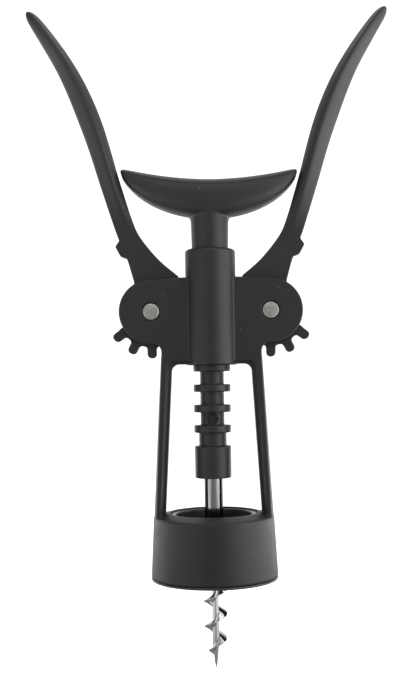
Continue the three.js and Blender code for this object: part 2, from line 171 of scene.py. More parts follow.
class Table:
    """A function of two coordinates, tabulated once and read back by linear interpolation."""

    def __init__(self, function, lo, hi, blur, step=0.15):
        self.lo, self.step = lo, step
        self.shape = [int((h - l) / step) + 2 for l, h in zip(lo, hi)]
        u = (lo[0] + step * np.arange(self.shape[0], dtype=np.float32))[:, None]
        v = (lo[1] + step * np.arange(self.shape[1], dtype=np.float32))[None, :]
        self.grid = blurred(function(u, v), blur / step).astype(np.float32)

    def __call__(self, u, v):
        fu = np.clip((u - self.lo[0]) / self.step, 0, self.shape[0] - 1.001)
        fv = np.clip((v - self.lo[1]) / self.step, 0, self.shape[1] - 1.001)
        iu, iv = fu.astype(np.int32), fv.astype(np.int32)
        tu, tv = (fu - iu).astype(np.float32), (fv - iv).astype(np.float32)
        g = self.grid
        low = g[iu, iv] * (1 - tu) + g[iu + 1, iv] * tu
        high = g[iu, iv + 1] * (1 - tu) + g[iu + 1, iv + 1] * tu
        return low * (1 - tv) + high * tv

    def slope_scale(self):
        """A table of what turns a height above this one into a distance, given its slope."""
        gu, gv = np.gradient(self.grid, self.step)
        scale = copy.copy(self)
        scale.grid = (1 / np.sqrt(1 + gu**2 + gv**2)).astype(np.float32)
        return scale


def outline_table(points, lo, hi, blur, step=0.15):
    """The field of a closed outline, with its corners rounded by the blur."""
    return Table(lambda u, v: polygon_distance(points, u, v), lo, hi, blur, step)


# ---- from a field to a mesh ----

CORNERS = np.array([(i, j, k) for k in (0, 1) for j in (0, 1) for i in (0, 1)], np.float32)
EDGES = [(0, 1), (2, 3), (4, 5), (6, 7), (0, 2), (1, 3), (4, 6), (5, 7), (0, 4), (1, 5), (2, 6), (3, 7)]
LAYER_POINTS = 600_000  # how much of a grid is worked out at a time
SLOPE_STEP, LONGEST_MOVE = 0.04, 0.2


def sampled(field, lo, hi, cell):
    axes = [np.arange(l, h + cell, cell, dtype=np.float32) for l, h in zip(lo, hi)]
    x, y = axes[0][:, None, None], axes[1][None, :, None]
    layers = max(1, int(LAYER_POINTS / (len(axes[0]) * len(axes[1]))))
    parts = [
        np.broadcast_to(
            field(x, y, axes[2][None, None, i : i + layers]),
            (len(axes[0]), len(axes[1]), len(axes[2][i : i + layers])),
        ).astype(np.float32)
        for i in range(0, len(axes[2]), layers)
    ]
    return np.concatenate(parts, axis=2)


def surface_net(values, lo, cell):
    """One vertex for each cell that the surface crosses, and a quad for each crossed edge."""
    inside = values < 0
    n = inside.astype(np.int8)
    n = n[:-1] + n[1:]
    n = n[:, :-1] + n[:, 1:]
    n = n[:, :, :-1] + n[:, :, 1:]
    active = (n > 0) & (n < 8)
    ijk = np.argwhere(active)
    index = np.full(active.shape, -1, np.int32)
    index[active] = np.arange(len(ijk))
    steps = CORNERS.astype(int)
    v = np.stack([values[tuple((ijk + s).T)] for s in steps], 1)
    total = np.zeros((len(ijk), 3), np.float32)
    count = np.zeros(len(ijk), np.float32)
    for a, b in EDGES:
        crossed = np.nonzero((v[:, a] < 0) != (v[:, b] < 0))[0]
        t = v[crossed, a] / (v[crossed, a] - v[crossed, b])
        total[crossed] += CORNERS[a] + t[:, None] * (CORNERS[b] - CORNERS[a])
        count[crossed] += 1
    points = np.array(lo) + cell * (ijk + total / count[:, None])
    low, high, mid, every = slice(None, -1), slice(1, None), slice(1, -1), slice(None)
    one_way = ((low, low), (high, low), (high, high), (low, high))
    other_way = ((low, low), (low, high), (high, high), (high, low))
    rings = [
        ((low, mid, mid), (high, mid, mid), [(every, a, b) for a, b in one_way]),
        ((mid, low, mid), (mid, high, mid), [(a, every, b) for a, b in other_way]),
        ((mid, mid, low), (mid, mid, high), [(a, b, every) for a, b in one_way]),
    ]
    quads = []
    for first, second, cells in rings:
        s0, s1 = inside[first], inside[second]
        for flip in (False, True):
            crossed = (s1 & ~s0) if flip else (s0 & ~s1)
            quad = np.stack([index[c][crossed] for c in cells], 1)
            quads.append(quad[:, ::-1] if flip else quad)
    return points, np.concatenate(quads)


def gradient(field, p):
    e = SLOPE_STEP
    x, y, z = p.T
    return np.stack(
        [
            field(x + e, y, z) - field(x - e, y, z),
            field(x, y + e, z) - field(x, y - e, z),
            field(x, y, z + e) - field(x, y, z - e),
        ],
        1,
    ) / (2 * e)


def projected(field, points):
    """Moves points along the field's slope onto its surface."""
    slope = gradient(field, points)
    square = np.maximum((slope**2).sum(1), 0.05)
    step = field(*points.T) / square
    return points - np.clip(step, -LONGEST_MOVE, LONGEST_MOVE)[:, None] * slope


def relaxed(points, quads, share):
    """Moves each point a share of the way to the middle of its neighbours."""
    n = len(points)
    a = np.concatenate([quads[:, i] for i in range(4)])
    b = np.concatenate([quads[:, (i + 1) % 4] for i in range(4)])
    a, b = np.concatenate([a, b]), np.concatenate([b, a])
    count = np.maximum(np.bincount(a, minlength=n), 1)
    mean = np.stack([np.bincount(a, points[b, i], n) / count for i in range(3)], 1)
    return points + share * (mean - points)


def new_object(name, points, faces, normals=None):
    """points in millimetres; faces is an array of quads or triangles."""
    mesh = bpy.data.meshes.new(name)
    sides = faces.shape[1]
    mesh.vertices.add(len(points))
    mesh.vertices.foreach_set("co", (points * MM).astype(np.float32).ravel())
    mesh.loops.add(faces.size)
    mesh.loops.foreach_set("vertex_index", faces.astype(np.int32).ravel())
    mesh.polygons.add(len(faces))
    mesh.polygons.foreach_set("loop_start", np.arange(len(faces), dtype=np.int32) * sides)
    mesh.polygons.foreach_set("use_smooth", np.ones(len(faces), bool))
    mesh.update(calc_edges=True)
    mesh.validate()
    if normals is not None:
        mesh.normals_split_custom_set_from_vertices(normals.tolist())
    obj = bpy.data.objects.new(name, mesh)
    bpy.context.scene.collection.objects.link(obj)
    return obj


def carved(name, field, lo, hi, cell, snap=None):
    """The mesh of a field, with its points exactly on the surface and true normals. snap moves
    points near a small round edge onto that edge."""
    points, quads = surface_net(sampled(field, lo, hi, cell), lo, cell)
    for share in (0.5, 0.35):
        points = projected(field, relaxed(projected(field, points), quads, share))
    points = projected(field, points)
    if snap:
        points = projected(field, snap(points))
    slope = gradient(field, points)
    slope /= np.maximum(np.linalg.norm(slope, axis=1), 1e-6)[:, None]
    return new_object(name, points, quads, normals=slope)


def spun(name, profile, sides, sharp_angle=30, axis="z", centre=(0, 0, 0)):
    """A body of revolution from [radius, height] corners that form a closed loop, or that
    start and end on the axis. With axis "y", a height of h becomes a place of -h along Y."""
    profile = np.array(profile, float)
    closed = not (profile[0, 0] == 0 and profile[-1, 0] == 0)
    angle = 2 * math.pi * np.arange(sides) / sides
    r, h = profile.T
    points = np.stack(
        [
            np.outer(np.cos(angle), r), np.outer(np.sin(angle), r),
            np.outer(np.ones(sides), h),
        ],
        2,
    )
    m = len(profile)
    i, j = np.meshgrid(np.arange(sides), np.arange(m if closed else m - 1), indexing="ij")
    i, j = i.ravel(), j.ravel()
    i1, j1 = (i + 1) % sides, (j + 1) % m
    faces = np.stack([i * m + j, i1 * m + j, i1 * m + j1, i * m + j1], 1)
    points = points.reshape(-1, 3)
    if axis == "y":
        points = points[:, [0, 2, 1]] * [1, -1, 1]
    obj = new_object(name, points + np.array(centre, float), faces)
    merge_and_clean(obj, sharp_angle)
    return obj


def merge_and_clean(obj, sharp_angle):
    """Joins doubled points, turns faces out, and keeps edges above sharp_angle degrees sharp."""
    bm = bmesh.new()
    bm.from_mesh(obj.data)
    bmesh.ops.remove_doubles(bm, verts=bm.verts, dist=1e-7)
    bmesh.ops.dissolve_degenerate(bm, edges=bm.edges, dist=1e-7)
    bmesh.ops.recalc_face_normals(bm, faces=bm.faces)
    for f in bm.faces:
        f.smooth = True
    bm.to_mesh(obj.data)
    bm.free()
    obj.data.set_sharp_from_angle(angle=math.radians(sharp_angle))


def rounded_loop(corners, steps=4):
    """A closed loop of (a, b, r) corners, each rounded to its own r."""
    out = []
    n = len(corners)
    for i, (a, b, r) in enumerate(corners):
        p = np.array((a, b), float)
        to0 = np.array(corners[i - 1][:2], float) - p
        to1 = np.array(corners[(i + 1) % n][:2], float) - p
        l0, l1 = np.linalg.norm(to0), np.linalg.norm(to1)
        to0, to1 = to0 / l0, to1 / l1
        half = 0.5 * math.acos(np.clip(to0 @ to1, -1, 1))
        back = min(r / math.tan(half), 0.45 * l0, 0.45 * l1)
        r = back * math.tan(half)
        centre = p + (to0 + to1) / np.linalg.norm(to0 + to1) * r / math.sin(half)
        a0, a1 = p + to0 * back - centre, p + to1 * back - centre
        for t in np.linspace(0, 1, steps + 1):
            arm = a0 * (1 - t) + a1 * t
            out.append(centre + arm / np.linalg.norm(arm) * r)
    return np.array(out)


def arc(centre, r, a0, a1, steps):
    a = np.linspace(a0, a1, steps)
    return [(centre[0] + r * math.cos(t), centre[1] + r * math.sin(t)) for t in a]


def spline(points, per_span=8):
    """A uniform Catmull-Rom curve through points."""
    p = np.array(points, float)
    p = np.vstack([2 * p[0] - p[1], p, 2 * p[-1] - p[-2]])
    out = []
    for i in range(1, len(p) - 2):
        for t in np.arange(per_span) / per_span:
            a = 2 * p[i]
            b = p[i + 1] - p[i - 1]
            c = 2 * p[i - 1] - 5 * p[i] + 4 * p[i + 1] - p[i + 2]
            d = -p[i - 1] + 3 * p[i] - 3 * p[i + 1] + p[i + 2]
            out.append(0.5 * (a + b * t + c * t * t + d * t**3))
    out.append(p[-2])
    return np.array(out)


# ---- frame casting ----

PIN_HALF = 3.75
PIN_HOLE, PIN_HOLE_EDGE = 3.2, 0.36
HUB_END, HUB_HALF, HUB_FILLET = 11.2, 4.0, 3.0
HUB_CREST = (8.7, 105.5)  # where the hub's upper edge meets the sleeve
SLEEVE_R, SLEEVE_BORE, SLEEVE_LOW = 8.8, 6.75, 74.9
BORE_LOW = 72.0
LEG_LOW, LEG_HIGH = 21.4, 79.0  # the heights that LEG_X gives the legs' places at
LEG_FOOT, LEG_HEAD = 21.7, 78.0  # the legs' ends, inside the bell's top and the hub
LEG_X = {"inner": (16.95, 13.65), "flange": (18.3, 15.1), "outer": (20.8, 17.5)}
LEG_HALF, WEB_HALF = 6.6, 2.5
LEG_ROUND, LEG_ROUND_SLOPE = 20.95, 0.0542  # radius and taper of the legs' outer corners
LEAN_COSINE = 0.998
WINDOW_LOW, WINDOW_TOP, WINDOW_STEP = 10.0, 75.2, 1.0
WEB_CORNER, FLANGE_CORNER = 2.6, 3.0
BELL = {
    "mouth": 22.23, "top": 21.1, "top_z": 22.0, "hole": 15.2, "lip_z": 23.4, "wall": 2.2, "roof_z": 21.1,
}
BELL_LOW = 0.96
BELL_REACH, HUB_FROM = 30.0, 70.0  # heights that the bell stays below and the hub above
SLOT_HALF, SLOT_R, SLOT_IN, SLOT_DOWN = 2.0, 16.7, 9.0, 12.2
PAST_MIDDLE = -8.0  # half outlines run past the middle, so that no edge lies on it
ROUNDING = {  # radii of the casting's edges, and of the fillets between its parts
    "web": 0.25, "flange": 0.5, "flange_corner": 0.4, "web_fillet": 0.5, "hub": 0.45,
    "sleeve_top": 1.1, "sleeve": 0.45, "slot": 0.25, "bore": 0.35, "bell_fillet": 0.5, "bell_hole": 0.4,
}


def leg_x(face, z):
    low, high = LEG_X[face]
    return low + (high - low) * (z - LEG_LOW) / (LEG_HIGH - LEG_LOW)


def hub_outline():
    """Right half of the hub plates, from the middle out: round end, fillet into the leg."""
    px, pz = PIVOT
    edge = leg_x("outer", pz - HUB_END - HUB_FILLET)
    fx = edge + HUB_FILLET
    drop = math.sqrt((HUB_END + HUB_FILLET) ** 2 - (px - fx) ** 2)
    fz = pz - drop
    meet = math.atan2(drop, px - fx)
    base = WINDOW_TOP + WINDOW_STEP
    points = [(PAST_MIDDLE, base), (edge, base), (edge, fz)]
    points += arc((fx, fz), HUB_FILLET, math.pi, meet, 12)
    points += arc(PIVOT, HUB_END, meet - math.pi, math.pi / 2, 60)
    points += [HUB_CREST, (PAST_MIDDLE, HUB_CREST[1])]
    return np.array(points)


def window(face, top, corner):
    """Right half of the opening between the legs, on one level of their T section."""
    x = leg_x(face, top - corner)
    points = [(PAST_MIDDLE, WINDOW_LOW), (leg_x(face, WINDOW_LOW), WINDOW_LOW), (x, top - corner)]
    points += arc((x - corner, top - corner), corner, 0, math.pi / 2, 12)
    points += [(PAST_MIDDLE, top)]
    return np.array(points)


def leg_field(u, v, face, top, corner):
    outer = (u - leg_x("outer", v)) * LEAN_COSINE
    body = np.maximum(np.maximum(outer, v - LEG_HEAD), LEG_FOOT - v)
    return np.maximum(body, -polygon_distance(window(face, top, corner), u, v))


def bell_profile():
    b = BELL
    return np.array(
        [
            (b["mouth"] - b["wall"], BELL_LOW), (b["mouth"], BELL_LOW), (b["top"], b["top_z"]),
            (b["hole"], b["lip_z"]), (b["hole"], b["roof_z"]), (b["top"] - b["wall"], b["roof_z"]),
        ]
    )


def frame_fields():
    lo, hi = (-1.0, 18.0), (34.0, 118.0)
    step_top = WINDOW_TOP + WINDOW_STEP
    hub = outline_table(hub_outline(), lo, hi, blur=0.18)
    web = Table(lambda u, v: leg_field(u, v, "inner", WINDOW_TOP, WEB_CORNER), lo, hi, blur=0.12)
    flange = Table(lambda u, v: leg_field(u, v, "flange", step_top, FLANGE_CORNER), lo, hi, blur=0.12)
    bell = outline_table(bell_profile(), (10.0, -2.0), (34.0, 32.0), blur=0.3)
    return hub, web, flange, bell


def make_frame_field():
    hub_plan, web_plan, flange_plan, bell_section = frame_fields()
    edge = ROUNDING

    def legs(ax, ay, r, z):
        """T-shaped legs: a thin web inside, and a flange that deepens towards the bell."""
        half = LEG_HALF + (HUB_HALF - LEG_HALF) * (z - LEG_LOW) / (WINDOW_TOP - LEG_LOW)
        half = np.maximum(half, HUB_HALF)
        web = slab(web_plan(ax, z), ay, WEB_HALF, edge["web"])
        flange = slab(flange_plan(ax, z), ay, half, edge["flange"])
        cone = (r - (LEG_ROUND - LEG_ROUND_SLOPE * (z - BELL["top_z"]))) * LEAN_COSINE
        flange = round_intersection(flange, cone, edge["flange_corner"])
        return round_union(web, flange, edge["web_fillet"])

    def with_hub(body, ax, ay, r, z):
        """Adds hub plates and sleeve, then cuts the levers' slot, the bore and the pin holes."""
        u, v = ax - PIVOT[0], z - PIVOT[1]
        body = np.minimum(body, slab(hub_plan(ax, z), ay, HUB_HALF, edge["hub"]))
        tube = round_intersection(r - SLEEVE_R, z - SLEEVE_TOP, edge["sleeve_top"])
        tube = round_intersection(tube, SLEEVE_LOW - z, edge["sleeve"])
        body = round_union(body, tube, edge["sleeve"])
        above = np.maximum(SLOT_IN - ax, -v)
        beside = np.maximum(-u, -SLOT_DOWN - v)
        slot = np.minimum(np.hypot(u, v) - SLOT_R, np.minimum(above, beside))
        body = round_cut(body, np.maximum(slot, ay - SLOT_HALF), edge["slot"])
        body = round_cut(body, np.maximum(r - SLEEVE_BORE, BORE_LOW - z), edge["bore"])
        return round_cut(body, np.hypot(u, v) - PIN_HOLE, PIN_HOLE_EDGE)

    def field(x, y, z):
        ax, ay, r = np.abs(x), np.abs(y), np.hypot(x, y)
        body = legs(ax, ay, r, z)
        if float(np.max(z)) > HUB_FROM:
            body = with_hub(body, ax, ay, r, z)
        if float(np.min(z)) < BELL_REACH:
            body = round_union(body, bell_section(r, z), edge["bell_fillet"])
            hole = np.maximum(r - BELL["hole"], z - BELL_REACH)
            body = round_cut(body, hole, edge["bell_hole"])
        return body

    return field


def pin_hole_rim(points):
    """Puts the points around each pin hole on two even circles, at the foot and top of its edge."""
    out = points.copy()
    side = np.sign(points[:, 0])
    u, v = np.abs(points[:, 0]) - PIVOT[0], points[:, 2] - PIVOT[1]
    r = np.hypot(u, v)
    near_face = np.abs(points[:, 1]) > HUB_HALF - 0.8
    for ring in (PIN_HOLE, PIN_HOLE + PIN_HOLE_EDGE):
        on = near_face & (np.abs(r - ring) < PIN_HOLE_EDGE / 2)
        out[on, 0] = side[on] * (PIVOT[0] + u[on] * ring / r[on])
        out[on, 2] = PIVOT[1] + v[on] * ring / r[on]
    return out


# ---- levers ----

ARM_INNER = [
    (-9.8, 12.3), (-2.9, 18.3), (3.5, 26.3), (6.4, 32.9), (9.0, 41.3), (11.45, 49.7),
    (13.7, 58.1), (16.2, 66.5), (19.4, 74.9), (23.45, 83.3), (28.5, 91.6), (34.5, 99.9),
    (38.15, 104.25), (40.4, 106.0),
]
ARM_OUTER = [
    (42.1, 106.03), (42.55, 105.0), (41.6, 102.1), (37.9, 95.7), (32.6, 86.3), (29.2, 79.0),
    (25.8, 70.4), (21.4, 58.1), (17.5, 45.4), (13.5, 32.8), (11.3, 26.3), (8.1, 18.3), (5.8, 10.3),
]
NUB = [(10.2, 26), (12.3, 23), (10.55, 19.7), (7.6, 18.6), (8.3, 25)]
GRIP_DEPTH = [
    (10, 1.75), (24, 1.75), (30, 2.2), (38, 3.1), (50, 4.3), (62, 5.05), (74, 5.25), (84, 5.0),
    (94, 4.3), (101, 3.2), (106.5, 1.6),
]
TEETH = {
    "count": 6, "pitch": 27.1, "first": 53.9, "tip": 16.2, "root": 12.3, "foot": 4, "width": 3.2,
    "flat": 0.15, "fillet": 0.9, "rim_before": 6, "rim_after": 10, "rim_step": 0.4,
}
RIDGE_AT, RIDGE_SOFT = 0.36, 0.3
EDGE_DEPTH = ([24, 34, 56, 90, 106], [1.75, 1.7, 1.3, 1.2, 0.9])  # half depth of the arm's edges
BOSS_R, LEVER_BORE = 10.8, 2.97
ROOT_INNER, ROOT_OUTER = (-10.6, 2), (8, 0)  # the ends of the arm's edges, inside the boss


def gear_sector(u, v):
    """The teeth, on a rim that spans only their part of the circle."""
    r = np.hypot(u, v)
    middle, half_width = (TEETH["tip"] + TEETH["foot"]) / 2, TEETH["width"] / 2
    corner = half_width - TEETH["flat"]
    teeth = np.full(r.shape, 1e9)
    for i in range(TEETH["count"]):
        a = math.radians(TEETH["first"] - i * TEETH["pitch"])
        along = u * math.sin(a) - v * math.cos(a)
        side = u * math.cos(a) + v * math.sin(a)
        tooth = box2(along, side, middle, 0, TEETH["tip"] - middle, half_width, corner)
        teeth = np.minimum(teeth, tooth)
    first = TEETH["first"] + TEETH["rim_before"]
    last = TEETH["first"] - (TEETH["count"] - 1) * TEETH["pitch"] - TEETH["rim_after"]
    bearing = np.degrees(np.arctan2(u, -v))
    in_sector = (bearing < first) & (bearing > last)
    rim = r - TEETH["root"]
    rim = np.where(in_sector, rim, np.maximum(rim, TEETH["rim_step"]))
    return round_union(teeth, rim, TEETH["fillet"])


def lever_outline(u, v):
    arm = np.vstack([spline(ARM_INNER), spline(ARM_OUTER), [ROOT_OUTER, ROOT_INNER]])
    body = np.minimum(polygon_distance(arm, u, v), np.hypot(u, v) - BOSS_R)
    body = round_union(body, gear_sector(u, v), 0.3)
    return np.minimum(body, polygon_distance(np.array(NUB), u, v))


def lever_depth(u, v):
    """Half depth of the arm: a soft ridge a third of the way from the inner edge."""
    d_in = line_distance(spline([ROOT_INNER] + ARM_INNER, 6), u, v)
    d_out = line_distance(spline(ARM_OUTER[1:] + [ROOT_OUTER], 6), u, v)
    t = d_in / np.maximum(d_in + d_out, 1e-6)
    share = np.where(t < RIDGE_AT, RIDGE_AT, 1 - RIDGE_AT)
    q = np.clip(np.abs(t - RIDGE_AT) / share, 0, 1)
    fall = (np.sqrt(q * q + RIDGE_SOFT**2) - RIDGE_SOFT) / (np.sqrt(1 + RIDGE_SOFT**2) - RIDGE_SOFT)
    heights = spline(GRIP_DEPTH, 6)
    depth = np.interp(v, heights[:, 0], heights[:, 1])
    edge = np.interp(v, *EDGE_DEPTH)
    return edge + np.maximum(depth - edge, 0) * (1 - fall)


def make_lever_field():
    lo, hi = (-14.0, -18.0), (45.0, 109.0)
    outline = Table(lever_outline, lo, hi, blur=0.22)
    depth = Table(lever_depth, lo, hi, blur=0.25)
    scale = depth.slope_scale()

    def field(u, y, v):
        faces = (np.abs(y) - depth(u, v)) * scale(u, v)
        edge_radius = 0.35 + 0.5 * np.clip((v - 30) / 20, 0, 1)  # rounder along the grip
        body = round_intersection(outline(u, v), faces, edge_radius)
        return round_cut(body, np.hypot(u, v) - LEVER_BORE, 0.3)

    return field


# ---- handle ----

HANDLE = {
    "half": 31.05, "end": 31.0, "tilt": 0.0125,
    "flank_from": 5.0, "flank_soft": 4.0, "flank_slope": 0.14, "tip_turn": 3.0,
    "saddle": 139.6, "saddle_rise": 4.4, "belly": 146.5, "belly_drop": 20, "belly_half": 31.9,
    "tip_drop": 0.5, "thinnest": 1.6, "squareness": 3.5, "squareness_lost": 1.1,
}
NEARLY_ONE = 0.9999
STEM_HIGH, STEM_R = 132, 6.33
FLARE_LOW, FLARE_HEIGHT, FLARE_SLOPE = 114, 12, 0.022


def crescent_depth(ax):
    """Half depth: nearly flat over the stem, then a flank that turns back towards each tip."""
    h = HANDLE
    t = np.clip(ax / h["half"], 0, 1)
    flank = np.hypot(np.maximum(ax - h["flank_from"], 0), h["flank_soft"]) - h["flank_soft"]
    return HANDLE_HALF_DEPTH - h["flank_slope"] * flank - h["tip_turn"] * t**5


def crescent(x, y, z):
    """Superellipse sections between a shallow saddle on top and a round belly below."""
    h = HANDLE
    ax = np.abs(x)
    t = np.clip(ax / h["half"], 0, NEARLY_ONE)
    z = z + h["tilt"] * x
    top = h["saddle"] + h["saddle_rise"] * t**1.8 - h["tip_drop"] * t**30
    across = np.minimum(ax / h["belly_half"], NEARLY_ONE)
    bottom = h["belly"] - h["belly_drop"] * np.sqrt(1 - across**2)
    half = np.maximum(top - bottom, h["thinnest"]) / 2
    middle = top - half
    n = h["squareness"] - h["squareness_lost"] * t
    k = (np.abs(y) / crescent_depth(ax)) ** n + (np.abs(z - middle) / half) ** n
    return np.maximum(k, 1e-9) ** (1 / n) - 1


def make_handle_field():
    e = 0.05

    def field(x, y, z):
        f = crescent(x, y, z)
        steps = ((e, 0, 0), (0, e, 0), (0, 0, e))
        slope = np.sqrt(sum((crescent(x + i, y + j, z + k) - f) ** 2 for i, j, k in steps)) / e
        body = round_intersection(f / np.clip(slope, 0.05, 2), np.abs(x) - HANDLE["end"], 0.8)
        radius = STEM_R + FLARE_SLOPE * np.clip(z - FLARE_LOW, 0, FLARE_HEIGHT)
        stem = np.maximum(np.maximum(np.hypot(x, y) - radius, STEM_LOW - z), z - STEM_HIGH)
        fillet = 0.5 + 1.5 * np.clip(1 - np.abs(y) / 3.6, 0, 1)  # wide at the sides, tight in front
        return round_union(body, stem, fillet)

    return field


# ---- rack ----

RACK = {"bore": 2.6, "collar": 6.35, "collar_top": 46.5, "neck": 4.8, "root": 4.15}
RACK_PITCH, RING_FIRST, RING_COUNT, RING_HALF = 7.14, 52.5, 7, 1.3
RETAINER_HOLE, RETAINER_HOLE_Y = 1.9, -3.0


def rack_profile():
    """Half section from the bore's lower end: collar, neck, and the rings that act as teeth."""
    k = RACK
    points = [(k["bore"], RACK_LOW), (k["collar"], RACK_LOW)]
    points += [(k["collar"], k["collar_top"]), (k["neck"], k["collar_top"])]
    for i in range(RING_COUNT):
        z = RING_FIRST + i * RACK_PITCH
        below = k["neck"] if i == 0 else k["root"]
        above = k["bore"] if i == RING_COUNT - 1 else k["root"]
        points += [(below, z - RING_HALF), (RACK_R, z - RING_HALF)]
        points += [(RACK_R, z + RING_HALF), (above, z + RING_HALF)]
    return np.array(points)


def make_rack_field():
    table = outline_table(rack_profile(), (1.0, 33.0), (8.5, 100.0), blur=0.2, step=0.08)

    def field(x, y, z):
        hole = np.maximum(np.hypot(x, z - RETAINER_Z) - RETAINER_HOLE, y - RETAINER_HOLE_Y)
        return round_cut(table(np.hypot(x, y), z), hole, 0.12)

    return field


# ---- worm ----

WORM = {
    "top": 17.0, "pitch": 8.8, "crest_left": -8.06, "crest": 4.1, "core": 1.12,
    "shank": 3.2, "shoulder": 35.5, "upper": 2.5,
}
FLIGHT_FROM = 2.55  # above the tip
TURNS_TO_GROW, TURNS_TO_FADE = 1.185, 0.6
FLIGHT_FOOT, FLIGHT_HALF, FLIGHT_WIDENS = 0.6, 0.35, 1.55


def worm_radius(z, angle):
    """Radius at each height and angle: a pointed core, and a flight that grows in and dies out."""
    w = WORM
    zc = np.clip(z, WORM_TIP, WORM_END)
    heights = [WORM_TIP, WORM_TIP + 2.2, WORM_TIP + 9, w["top"] - 3, w["top"] + 1.5]
    core = np.interp(zc, heights, [0.0, 0.45, w["core"], w["core"], w["shank"]])
    core = np.where(zc > w["shoulder"], w["upper"], core)
    start = w["crest_left"] + w["pitch"] * (angle / (2 * math.pi) - 0.5)
    off = (z - start[:, None] + w["pitch"] / 2) % w["pitch"] - w["pitch"] / 2
    turns_in = (zc - (WORM_TIP + FLIGHT_FROM)) / w["pitch"]
    turns_left = (w["top"] - zc) / w["pitch"]
    full = np.clip(np.minimum(turns_in / TURNS_TO_GROW, turns_left / TURNS_TO_FADE), 0, 1)
    grow = np.sin(full * math.pi / 2)
    q = np.clip(1 - np.abs(off) / (FLIGHT_HALF + FLIGHT_WIDENS * grow), 0, 1)
    flight = FLIGHT_FOOT + (w["crest"] - FLIGHT_FOOT) * np.minimum(q * 1.06, 1) ** 1.18
    grown = np.maximum(core, core * (1 - grow) + grow * flight)
    radius = np.where((grow > 0) & (q > 0), grown, core)
    return np.where((zc <= WORM_TIP) | (z >= WORM_END), 0, radius)


def make_worm():
    """A skin whose rows follow the screw, so that the flight's crest runs along the mesh."""
    w = WORM
    around, per_pitch, spare = 96, 72, 1.2
    reach = (WORM_END - WORM_TIP + spare) / w["pitch"]
    rows = np.arange(-int(per_pitch * spare), int(per_pitch * (reach + spare)))
    angle = 2 * math.pi * np.arange(around) / around
    base_z = WORM_TIP + rows * w["pitch"] / per_pitch
    z = base_z[None, :] + (w["pitch"] * angle / (2 * math.pi))[:, None]
    radius = worm_radius(z, angle)
    x, y = radius * np.cos(angle)[:, None], radius * np.sin(angle)[:, None]
    points = np.stack([x, y, np.clip(z, WORM_TIP, WORM_END)], 2)
    m = len(rows)
    i, j = np.meshgrid(np.arange(around), np.arange(m - 1), indexing="ij")
    i, j = i.ravel(), j.ravel()
    wrap = (i == around - 1).astype(int)
    i1, j1 = (i + 1) % around, j + wrap * per_pitch
    ok = j1 + 1 < m
    i, j, i1, j1 = i[ok], j[ok], i1[ok], j1[ok]
    faces = np.stack([i * m + j, i1 * m + j1, i1 * m + j1 + 1, i * m + j + 1], 1)
    obj = new_object("worm_ground", points.reshape(-1, 3), faces)
    merge_and_clean(obj, 38)
    return obj


# ---- materials ----


class Nodes:
    """Short names for building a node material."""

    def __init__(self, name):
        self.material = bpy.data.materials.new(name)
        self.material.use_nodes = True
        self.tree = self.material.node_tree
        self.tree.nodes.clear()
        self.out = self.tree.nodes.new("ShaderNodeOutputMaterial")
        self.shader = self.tree.nodes.new("ShaderNodeBsdfPrincipled")
        self.link(self.shader.outputs[0], self.out.inputs["Surface"])
        self.where = self.tree.nodes.new("ShaderNodeTexCoord").outputs["Object"]

    def link(self, a, b):
        self.tree.links.new(a, b)

    def node(self, kind, inputs=(), **settings):
        n = self.tree.nodes.new(kind)
        for k, v in settings.items():
            setattr(n, k, v)
        for key, value in dict(inputs).items():
            if isinstance(value, bpy.types.NodeSocket):
                self.link(value, n.inputs[key])
            else:
                n.inputs[key].default_value = value
        return n

    def noise(self, scale, detail=2.0, rough=0.5, where=None):
        return self.node(
            "ShaderNodeTexNoise",
            {"Vector": where or self.where, "Scale": scale, "Detail": detail, "Roughness": rough},
        ).outputs["Fac"]

    def ramp(self, value, low, high, to_low=0.0, to_high=1.0):
        return self.node(
            "ShaderNodeMapRange",
            {"Value": value, "From Min": low, "From Max": high, "To Min": to_low, "To Max": to_high},
        ).outputs[0]

    def math(self, operation, a, b=0.0):
        return self.node("ShaderNodeMath", {0: a, 1: b}, operation=operation).outputs[0]

    def mix(self, share, a, b):
        n = self.node("ShaderNodeMix", data_type="RGBA")
        for socket, value in ((n.inputs["Factor"], share), (n.inputs[6], a), (n.inputs[7], b)):
            if isinstance(value, bpy.types.NodeSocket):
                self.link(value, socket)
            else:
                socket.default_value = value
        return n.outputs[2]

    def bump(self, height, strength, distance, under=None):
        inputs = {"Height": height, "Strength": strength, "Distance": distance}
        if under is not None:
            inputs["Normal"] = under
        return self.node("ShaderNodeBump", inputs).outputs[0]

    def set(self, **values):
        for key, value in values.items():
            socket = self.shader.inputs[key.replace("_", " ")]
            if isinstance(value, bpy.types.NodeSocket):
                self.link(value, socket)
            else:
                socket.default_value = value


def grey(v, warm=0.0):
    return (v * (1 + warm), v, v * (1 - warm), 1)


